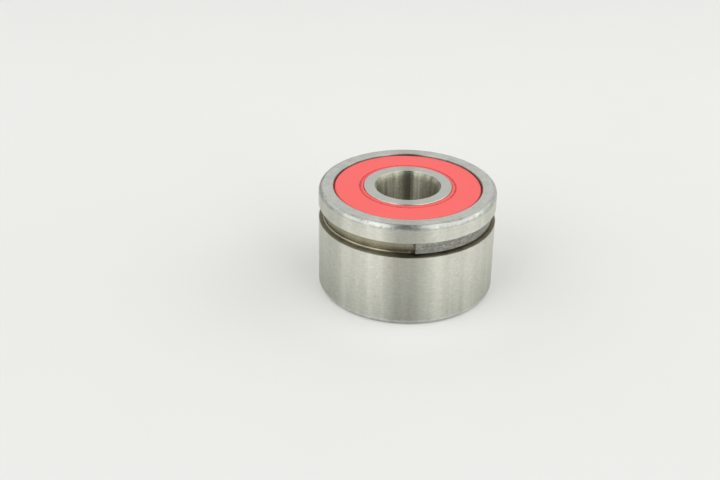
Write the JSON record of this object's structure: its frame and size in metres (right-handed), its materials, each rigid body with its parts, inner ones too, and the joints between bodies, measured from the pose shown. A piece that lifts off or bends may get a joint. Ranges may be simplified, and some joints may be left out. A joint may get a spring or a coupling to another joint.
{
  "type": "sealed deep-groove ball bearing",
  "caption": "Wide sealed deep-groove ball bearing with red rubber seals, a pressed cage and a split creep-stop ring in an eccentric groove round its outer ring.",
  "frame": {"origin": "centre of the lower face, on the bearing's axis", "axes": "+Z is the bearing's axis, towards the face nearest the eccentric groove; -Y is the side with the free end of the split ring"},
  "size_m": [0.023, 0.023, 0.014],
  "materials": {
    "outer_ring_steel": "fine ground bearing steel, lines running round the ring",
    "spring_steel": "matt, tumbled spring steel",
    "inner_ring_steel": "fine ground bearing steel, honed bore",
    "red_rubber": "moulded red rubber, smooth and slightly glossy",
    "pressed_steel": "cold-rolled sheet, satin",
    "rivet_steel": "headed steel wire, satin",
    "ball_steel": "lapped and polished"
  },
  "bodies": {
    "outer_assembly": {"outer_ring": "outer_ring_steel", "seal_upper": "red_rubber", "seal_lower": "red_rubber", "seal_core_upper": "pressed_steel", "seal_core_lower": "pressed_steel"},
    "inner": {"inner_ring": "inner_ring_steel"},
    "cage": {"cage_upper": "pressed_steel", "cage_lower": "pressed_steel", "cage_rivets": "rivet_steel"},
    "rolling_ball_1": {"ball_1": "ball_steel"},
    "rolling_ball_2": {"ball_2": "ball_steel"},
    "rolling_ball_3": {"ball_3": "ball_steel"},
    "rolling_ball_4": {"ball_4": "ball_steel"},
    "rolling_ball_5": {"ball_5": "ball_steel"},
    "rolling_ball_6": {"ball_6": "ball_steel"},
    "rolling_ball_7": {"ball_7": "ball_steel"},
    "stop_ring": {"creep_stop_ring": "spring_steel"}
  },
  "joints": [
    {"name": "inner_ring_spin", "type": "hinge", "parent": "outer_assembly", "child": "inner", "pos_m": [0, 0, 0.007], "axis": [0, 0, 1], "continuous": true},
    {"name": "cage_orbit", "type": "hinge", "parent": "outer_assembly", "child": "cage", "pos_m": [0, 0, 0.007], "axis": [0, 0, 1], "continuous": true},
    {"name": "ball_1_roll", "type": "hinge", "parent": "cage", "child": "rolling_ball_1", "pos_m": [0.00775, 0, 0.007], "axis": [0, 0, 1], "continuous": true},
    {"name": "ball_2_roll", "type": "hinge", "parent": "cage", "child": "rolling_ball_2", "pos_m": [0.00483, 0.00606, 0.007], "axis": [0, 0, 1], "continuous": true},
    {"name": "ball_3_roll", "type": "hinge", "parent": "cage", "child": "rolling_ball_3", "pos_m": [-0.00172, 0.00756, 0.007], "axis": [0, 0, 1], "continuous": true},
    {"name": "ball_4_roll", "type": "hinge", "parent": "cage", "child": "rolling_ball_4", "pos_m": [-0.00698, 0.00336, 0.007], "axis": [0, 0, 1], "continuous": true},
    {"name": "ball_5_roll", "type": "hinge", "parent": "cage", "child": "rolling_ball_5", "pos_m": [-0.00698, -0.00336, 0.007], "axis": [0, 0, 1], "continuous": true},
    {"name": "ball_6_roll", "type": "hinge", "parent": "cage", "child": "rolling_ball_6", "pos_m": [-0.00172, -0.00756, 0.007], "axis": [0, 0, 1], "continuous": true},
    {"name": "ball_7_roll", "type": "hinge", "parent": "cage", "child": "rolling_ball_7", "pos_m": [0.00483, -0.00606, 0.007], "axis": [0, 0, 1], "continuous": true},
    {"name": "creep_ring_turn", "type": "hinge", "parent": "outer_assembly", "child": "stop_ring", "pos_m": [-0.0003, 0.00053, 0.01087], "axis": [0, 0, 1], "continuous": true}
  ],
  "couplings": [
    {"joint": "cage_orbit", "follows": "inner_ring_spin", "ratio": 0.37197},
    {"joint": "ball_1_roll", "follows": "inner_ring_spin", "ratio": -1.8246},
    {"joint": "ball_2_roll", "follows": "inner_ring_spin", "ratio": -1.8246},
    {"joint": "ball_3_roll", "follows": "inner_ring_spin", "ratio": -1.8246},
    {"joint": "ball_4_roll", "follows": "inner_ring_spin", "ratio": -1.8246},
    {"joint": "ball_5_roll", "follows": "inner_ring_spin", "ratio": -1.8246},
    {"joint": "ball_6_roll", "follows": "inner_ring_spin", "ratio": -1.8246},
    {"joint": "ball_7_roll", "follows": "inner_ring_spin", "ratio": -1.8246}
  ]
}
